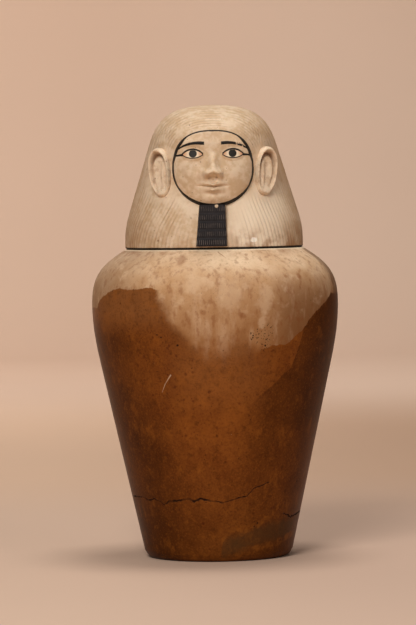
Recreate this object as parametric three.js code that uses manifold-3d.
// A canopic jar of travertine: a tall tapering jar with a broad shoulder, and a lid carved as a
// head in a long striated wig, with large ears and a plaited false beard under the chin.
// Millimetres, +Z up. The origin is the centre of the jar's underside and the face looks along -Y.
import * as THREE from "three";
import { mergeVertices } from "three/addons/utils/BufferGeometryUtils.js";
import Module from "manifold-3d";

// Jar, outside
const jarHeight = 259.4;
const footRadius = 59.5;
const footRounding = 6;
const springHeight = 164.5; // where the straight side turns into the shoulder
const springRadius = 97.4;
const shoulderHeight = 213.5;
const shoulderRadius = 103.7;
const rimRadius = 75;
const rimSlope = 33; // degrees, the shoulder's slope where it meets the flat rim

// Jar, inside
const wallThickness = 13;
const floorThickness = 24;
const floorRounding = 16;
const mouthRadius = 55;
const lipThickness = 15; // stone above the hollow, around the mouth

// Lid
const lidHeight = 120.3;
const seatGap = 0.3; // between the jar's rim and the lid's underside
const lidInset = 0.2; // how far the lid's edge stays inside the rim
const lidChamfer = 1.1;
const tenonClearance = 1.5; // between the tenon and the mouth, all round
const tenonDepth = 9;

// The carving is in shares of the lid. A third is the face's own unit: chin to nose, nose to brow.
const lidRadius = rimRadius - lidInset;
const lidBase = jarHeight + seatGap;
const third = 0.2 * lidHeight;
const chinHeight = 0.293 * lidHeight;
const hairline = 2.6 * third; // above the chin
const faceHalfWidth = 1.37 * third;
const faceCentre = 1.3 * third; // above the chin, the middle of the oval
const facePlane = 0.97 * lidRadius; // how far the middle of the face stands from the jar's axis
const beardTopWidth = 0.9 * third;
const beardBottomWidth = 1.08 * third;
const beardFootGap = 0.02 * lidHeight; // between the beard's end and the lid's edge
const earHeight = 1.7 * third;
const earWidth = 0.86 * third;
const earTurn = 34; // degrees from facing straight ahead
const earTilt = 6; // degrees, top outwards

// How finely each surface is cut
const jarSides = 52;
const wigSides = 60;
const faceSides = 52;
const faceRings = 19;
const earSides = 22;
const beardBands = 7;

const clamp01 = (t) => Math.min(1, Math.max(0, t));
const smooth = (low, high, value) => {
  const t = clamp01((value - low) / (high - low));
  return t * t * (3 - 2 * t);
};
// 1 at the middle, fading over the half widths
const mound = (x, z, halfWidth, halfHeight) => Math.exp(-((x / halfWidth) ** 2) - (z / halfHeight) ** 2);
const radians = THREE.MathUtils.degToRad;
const at = (x, y) => new THREE.Vector2(x, y);

function bezier(from, fromControl, toControl, to, steps) {
  return new THREE.CubicBezierCurve(from, fromControl, toControl, to).getPoints(steps);
}

// Turns a profile of (radius, height) points about the vertical axis.
// Where carve is given, it places each point from its radius, height and turn from the front.
function turned(profile, sides, carve) {
  const geometry = new THREE.LatheGeometry(profile, sides);
  const place = geometry.attributes.position;
  for (let i = 0; i < place.count; i++) {
    const [x, height, z] = [place.getX(i), place.getY(i), place.getZ(i)];
    const point = carve ? carve(Math.hypot(x, z), height, Math.atan2(x, z)) : new THREE.Vector3(x, -z, height);
    place.setXYZ(i, point.x, point.y, point.z);
  }
  return geometry;
}

const wasm = await Module();
wasm.setup();

function solid(geometry) {
  const bare = new THREE.BufferGeometry().setAttribute("position", geometry.attributes.position);
  bare.setIndex(geometry.index);
  const merged = mergeVertices(bare, 1e-4);
  return new wasm.Manifold(
    new wasm.Mesh({
      numProp: 3,
      vertProperties: merged.attributes.position.array,
      triVerts: new Uint32Array(merged.index.array),
    }),
  );
}

function surface(manifold) {
  const mesh = manifold.getMesh();
  const geometry = new THREE.BufferGeometry();
  geometry.setAttribute("position", new THREE.BufferAttribute(mesh.vertProperties, 3));
  geometry.setIndex(new THREE.BufferAttribute(mesh.triVerts, 1));
  geometry.computeVertexNormals();
  return geometry;
}

// The straight side's radius at a height
const sideSlope = (springRadius - footRadius - 0.5 * footRounding) / (springHeight - footRounding);
const sideRadius = (height) => springRadius - (springHeight - height) * sideSlope;

// The jar is one turned solid: out along the foot, up the side, over the rim and down the inside.
function jarGeometry() {
  const spring = at(springRadius, springHeight);
  const widest = at(shoulderRadius, shoulderHeight);
  const rim = at(rimRadius, jarHeight);
  const shoulderRise = jarHeight - shoulderHeight;
  const rimReach = 0.5 * shoulderRise;
  const rimControl = at(
    rimRadius + rimReach * Math.cos(radians(rimSlope)),
    jarHeight - rimReach * Math.sin(radians(rimSlope)),
  );
  const belly = springHeight + 0.34 * (shoulderHeight - springHeight);
  const foot = at(footRadius - footRounding * 0.6, 0);
  const footTop = at(sideRadius(footRounding), footRounding);
  const outside = [
    at(0, 0),
    ...bezier(foot, at(footRadius, 0), at(footRadius + 0.2, footRounding * 0.3), footTop, 3),
    ...[0.25, 0.5, 0.75].map((share) => {
      const height = footRounding + share * (springHeight - footRounding);
      return at(sideRadius(height), height);
    }),
    ...bezier(
      spring,
      at(springRadius + (belly - springHeight) * sideSlope, belly),
      at(shoulderRadius, shoulderHeight - 0.36 * (shoulderHeight - springHeight)),
      widest,
      4,
    ),
    ...bezier(widest, at(shoulderRadius, shoulderHeight + 0.565 * shoulderRise), rimControl, rim, 8).slice(1),
  ];

  const floorEdge = floorThickness + floorRounding;
  const innerWidest = at(shoulderRadius - wallThickness, shoulderHeight - 0.4 * wallThickness);
  const neckFoot = at(mouthRadius + 3, jarHeight - lipThickness);
  const inside = [
    at(mouthRadius, jarHeight),
    at(mouthRadius, jarHeight - lipThickness + 3),
    ...bezier(
      neckFoot,
      at(mouthRadius + 20, jarHeight - lipThickness - 4),
      at(innerWidest.x, innerWidest.y + 16),
      innerWidest,
      5,
    ),
    at(springRadius - wallThickness, springHeight),
    at(sideRadius(0.5 * (springHeight + floorEdge)) - wallThickness, 0.5 * (springHeight + floorEdge)),
    ...bezier(
      at(sideRadius(floorEdge) - wallThickness, floorEdge),
      at(sideRadius(floorEdge) - wallThickness - 2, floorThickness + 0.4 * floorRounding),
      at(sideRadius(floorEdge) - wallThickness - 0.4 * floorRounding, floorThickness + 1),
      at(sideRadius(floorEdge) - wallThickness - 1.2 * floorRounding, floorThickness),
      4,
    ),
    at(0, floorThickness),
  ];
  return turned([...outside, ...inside], jarSides);
}

// The wig's outline from the front, from its foot to the crown: height above the lid's base and half width.
function wigOutline() {
  const waist = at(0.963 * lidRadius, 0.225 * lidHeight);
  const temple = at(0.716 * lidRadius, 0.724 * lidHeight);
  const lean = (waist.x - temple.x) / (temple.y - waist.y);
  const templeReach = 0.185 * lidHeight;
  return [
    ...bezier(
      at(lidRadius, lidChamfer),
      at(1.004 * lidRadius, 0.085 * lidHeight),
      at(waist.x + 0.07 * lidHeight * lean, waist.y - 0.07 * lidHeight),
      waist,
      4,
    ),
    ...[0.25, 0.5, 0.75].map((share) => at(...waist.clone().lerp(temple, share).toArray())),
    ...bezier(
      temple,
      at(temple.x - templeReach * lean, temple.y + templeReach),
      at(0.48 * lidRadius, lidHeight),
      at(0, lidHeight),
      9,
    ),
  ];
}

// Depths of the wig in front of and behind the axis, at a share of the lid's height
function wigFront(share) {
  const dome = clamp01((share - 0.62) / 0.38);
  return lidRadius * (1 - 0.03 * share) * Math.sqrt(1 - dome ** 3.4);
}
function wigBack(share) {
  const dome = clamp01((share - 0.45) / 0.55);
  return lidRadius * (1 - 0.12 * share) * Math.sqrt(1 - dome ** 2.8);
}

// Where a point of the wig lies. The head is deeper than it is wide, and hollowed round the face.
function wigPoint(halfWidth, height, turn) {
  const share = clamp01(height / lidHeight);
  const crownward = halfWidth > 0 && share > 0 && height < lidHeight;
  if (!crownward) return new THREE.Vector3(halfWidth * Math.sin(turn), -halfWidth * Math.cos(turn), lidBase + height);
  const depth = Math.cos(turn) > 0 ? wigFront(share) : wigBack(share);
  const fullness = 2 + 0.3 * smooth(0, 0.5, share);
  const across = Math.abs(Math.sin(turn)) / halfWidth;
  const along = Math.abs(Math.cos(turn)) / (depth * smooth(-0.02, 0, share));
  let radius = (across ** fullness + along ** fullness) ** (-1 / fullness);
  const frontness = Math.max(0, Math.cos(turn));
  const x = radius * Math.sin(turn);
  const setIn = smooth(0, 0.1, share) * frontness;
  radius -= 0.125 * lidRadius * setIn * mound(0, share - 0.45, 1, 0.25);
  radius -= 0.07 * lidRadius * setIn * mound(x, share - 0.28, 0.36 * lidRadius, 0.13);
  return new THREE.Vector3(radius * Math.sin(turn), -radius * Math.cos(turn), lidBase + height);
}

function wigGeometry() {
  const tenonRadius = mouthRadius - tenonClearance;
  const profile = [
    at(0, -tenonDepth),
    at(tenonRadius - 1, -tenonDepth),
    at(tenonRadius, -tenonDepth + 1),
    at(tenonRadius, 0),
    at(lidRadius - lidChamfer, 0),
    ...wigOutline(),
  ];
  return turned(profile, wigSides, wigPoint);
}

// The face's oval: its radius from the middle of the face, at a turn from straight up
function ovalRadius(turn) {
  const up = Math.cos(turn);
  const height = up > 0 ? hairline - faceCentre : faceCentre;
  const fullness = up > 0 ? 2.5 : 2.1;
  const across = Math.abs(Math.sin(turn)) / faceHalfWidth;
  const along = Math.abs(up) / height;
  return (across ** fullness + along ** fullness) ** (-1 / fullness);
}

// How far the nose stands out, x across and v above the chin
function noseRelief(x, v) {
  const bridge = 1.92 * third;
  const tip = 1.14 * third;
  const length = clamp01((bridge - v) / (bridge - tip));
  const halfWidth = third * (0.14 + 0.09 * length ** 2);
  const underside = smooth(0.96 * third, 1.21 * third, v);
  const ridge = third * (0.07 + 0.34 * (length - 0.08 * length ** 6)) * smooth(0, 0.35, length);
  const across = Math.exp(-Math.pow(Math.abs(x) / halfWidth, 2.4));
  const wing = 0.2 * third * mound(Math.abs(x) - 0.22 * third, v - 1.1 * third, 0.12 * third, 0.13 * third);
  const flank = 0.07 * third * length * mound(x, v - 1.15 * third, 0.42 * third, 0.3 * third);
  return underside * ridge * across + wing + flank;
}

// Sockets sunk under the brows, each with its rounded lid and eyeball
function eyeRelief(x, v) {
  const across = Math.abs(x) - 0.69 * third;
  const up = v - 1.78 * third;
  const socket = 0.13 * third * mound(across, up - 0.02 * third, 0.5 * third, 0.27 * third);
  const ball = Math.max(0, 1 - (across / (0.38 * third)) ** 2 - (up / (0.21 * third)) ** 2);
  const brow = 0.045 * third * mound(across, up - 0.4 * third, 0.55 * third, 0.13 * third);
  return 0.13 * third * ball ** 0.7 - socket + brow;
}

function mouthRelief(x, v) {
  const parting = third * (0.69 + 0.05 * (x / (0.5 * third)) ** 2);
  const upper = 0.15 * third * mound(x, v - parting - 0.08 * third, 0.37 * third, 0.085 * third);
  const lower = 0.15 * third * mound(x, v - parting + 0.1 * third, 0.28 * third, 0.095 * third);
  const line = 0.09 * third * mound(x, v - parting, 0.4 * third, 0.035 * third);
  const below = 0.06 * third * mound(x, v - 0.44 * third, 0.28 * third, 0.08 * third);
  const corners = 0.05 * third * mound(Math.abs(x) - 0.47 * third, v - parting, 0.1 * third, 0.11 * third);
  const lift = 0.09 * third * mound(x, v - parting, 0.55 * third, 0.35 * third);
  return lift + upper + lower - line - below - corners;
}

// How far the face stands forward of the jar's axis
function faceFront(q, turn) {
  const radius = q * ovalRadius(turn);
  const x = radius * Math.sin(turn);
  const v = faceCentre + radius * Math.cos(turn);
  const up = Math.cos(turn);
  const sideways = Math.abs(Math.sin(turn));
  const edgeDrop = third * (0.6 * sideways ** 2 + (up > 0 ? 0.04 : 0.3) * up ** 2);
  const fullness = 2.1 + (up > 0 ? 2.6 : 0.4) * up ** 2;
  const dome = edgeDrop * (1 - (1 - Math.min(1, q) ** fullness) ** (1 / fullness));
  const rise = (v - faceCentre) / faceCentre;
  const slope = rise > 0 ? 0.16 * third * rise ** 2 : 0.05 * third * rise ** 2;
  const chin = 0.12 * third * mound(x, v - 0.24 * third, 0.34 * third, 0.22 * third);
  const cheek = 0.09 * third * mound(Math.abs(x) - 0.72 * third, v - 1.15 * third, 0.36 * third, 0.36 * third);
  return facePlane - dome - slope + chin + cheek + noseRelief(x, v) + eyeRelief(x, v) + mouthRelief(x, v);
}

// The face is a turned pebble seen from the front: rings out to the oval, then a wall going back.
// Its profile gives the share of the oval's radius, and how far behind the edge each ring lies.
function faceGeometry() {
  const wall = [at(1.02, 0.1), at(1.07, 0.35), at(1.1, 0.8)];
  const back = 0.45 * facePlane;
  const rings = [];
  for (let ring = 0; ring <= faceRings; ring++) {
    const even = ring / faceRings;
    rings.push(at(0.55 * even + 0.45 * Math.sin(0.5 * Math.PI * even), 0));
  }
  const profile = [...rings, ...wall, at(1.1, 2), at(0, 2)];
  return turned(profile, faceSides, (share, behind, turn) => {
    const radius = share * ovalRadius(turn);
    const edge = faceFront(Math.min(share, 1), turn);
    const front = behind === 2 ? back : edge - behind * third;
    return new THREE.Vector3(radius * Math.sin(turn), -front, lidBase + chinHeight + faceCentre + radius * Math.cos(turn));
  });
}

// The opening in the wig that the face sits in, an upright oval prism
function faceOpening() {
  const profile = [at(0, facePlane + third), at(1, facePlane + third), at(1, 0.5 * facePlane), at(0, 0.5 * facePlane)];
  return turned(profile, faceSides, (share, front, turn) => {
    const radius = share * ovalRadius(turn);
    return new THREE.Vector3(radius * Math.sin(turn), -front, lidBase + chinHeight + faceCentre + radius * Math.cos(turn));
  });
}

// An ear: a tall egg-shaped plate, turned outwards, with a rim that runs up from the cheek, over the
// top and down the outer edge to the lobe, round a long hollow. side is 1 for the ear on +X, else -1.
function earGeometry(side) {
  const rings = [
    ...[0, 0.22, 0.42, 0.6, 0.75, 0.87].map((share) => at(share, 0)),
    at(0.96, 0.05),
    at(1, 0.15),
    at(0.96, 0.3),
    at(0.8, 0.55),
    at(0, 0.55),
  ];
  const middle = { x: 0.597 * lidRadius, front: 0.69 * lidRadius, up: 1.19 * third };
  const [cosTurn, sinTurn] = [Math.cos(radians(earTurn)), Math.sin(radians(earTurn))];
  return turned(rings, earSides, (share, behind, turn) => {
    const [out, up] = [Math.sin(turn) * side, Math.cos(turn)];
    const along = 0.5 * earHeight * share * up;
    const across = 0.5 * earWidth * share * out * (1 + 0.2 * up) + along * Math.tan(radians(earTilt));
    const rim = 0.13 * third * mound(0, share - 0.9, 1, 0.2) * smooth(-1.1, 0.2, out + 1.1 * up);
    const lobe = 0.1 * third * mound(out * share + 0.15, up * share + 0.8, 0.45, 0.25);
    const hollow = 0.11 * third * mound(out * share + 0.05, up * share - 0.05, 0.4, 0.6);
    const relief = rim + lobe - hollow;
    const forward = (behind < 0.5 ? relief : 0) - behind * third;
    return new THREE.Vector3(
      side * (middle.x + across * cosTurn + forward * sinTurn),
      -(middle.front - across * sinTurn + forward * cosTurn),
      lidBase + chinHeight + middle.up + along,
    );
  });
}

// The false beard: a slab that widens downwards and leans forward, cut across in bands.
function beardGeometry() {
  const top = chinHeight + 0.06 * third;
  const bottom = beardFootGap;
  const frontTop = facePlane - 0.1 * third;
  const frontBottom = lidRadius + 0.12 * third;
  const back = 0.6 * lidRadius;
  const geometry = new THREE.BoxGeometry(1, 1, 1, 4, 1, beardBands * 2);
  const place = geometry.attributes.position;
  for (let i = 0; i < place.count; i++) {
    const down = 0.5 - place.getZ(i);
    const width = THREE.MathUtils.lerp(beardTopWidth, beardBottomWidth, down);
    const groove = Math.abs(Math.cos(Math.PI * beardBands * down)) ** 3;
    const rounding = 0.05 * third * (2 * place.getX(i)) ** 2;
    const front = THREE.MathUtils.lerp(frontTop, frontBottom, down ** 0.8) - 0.02 * third * groove - rounding;
    const depth = place.getY(i) < 0 ? front : back;
    place.setXYZ(i, width * place.getX(i), -depth, lidBase + THREE.MathUtils.lerp(top, bottom, down));
  }
  return geometry;
}

function lidGeometry() {
  const body = solid(wigGeometry()).subtract(solid(faceOpening()));
  const carving = [faceGeometry(), earGeometry(1), earGeometry(-1), beardGeometry()];
  return surface(carving.reduce((lid, piece) => lid.add(solid(piece)), body));
}

const amberStone = new THREE.MeshStandardMaterial({ color: 0x9a6232, roughness: 0.35, metalness: 0 });
const paleStone = new THREE.MeshStandardMaterial({ color: 0xcbb08a, roughness: 0.5, metalness: 0 });

const jar = new THREE.Mesh(jarGeometry(), amberStone);
jar.name = "jar";
const lid = new THREE.Mesh(lidGeometry(), paleStone);
lid.name = "lid";

const canopicJar = new THREE.Group();
canopicJar.add(jar, lid);
export default canopicJar;
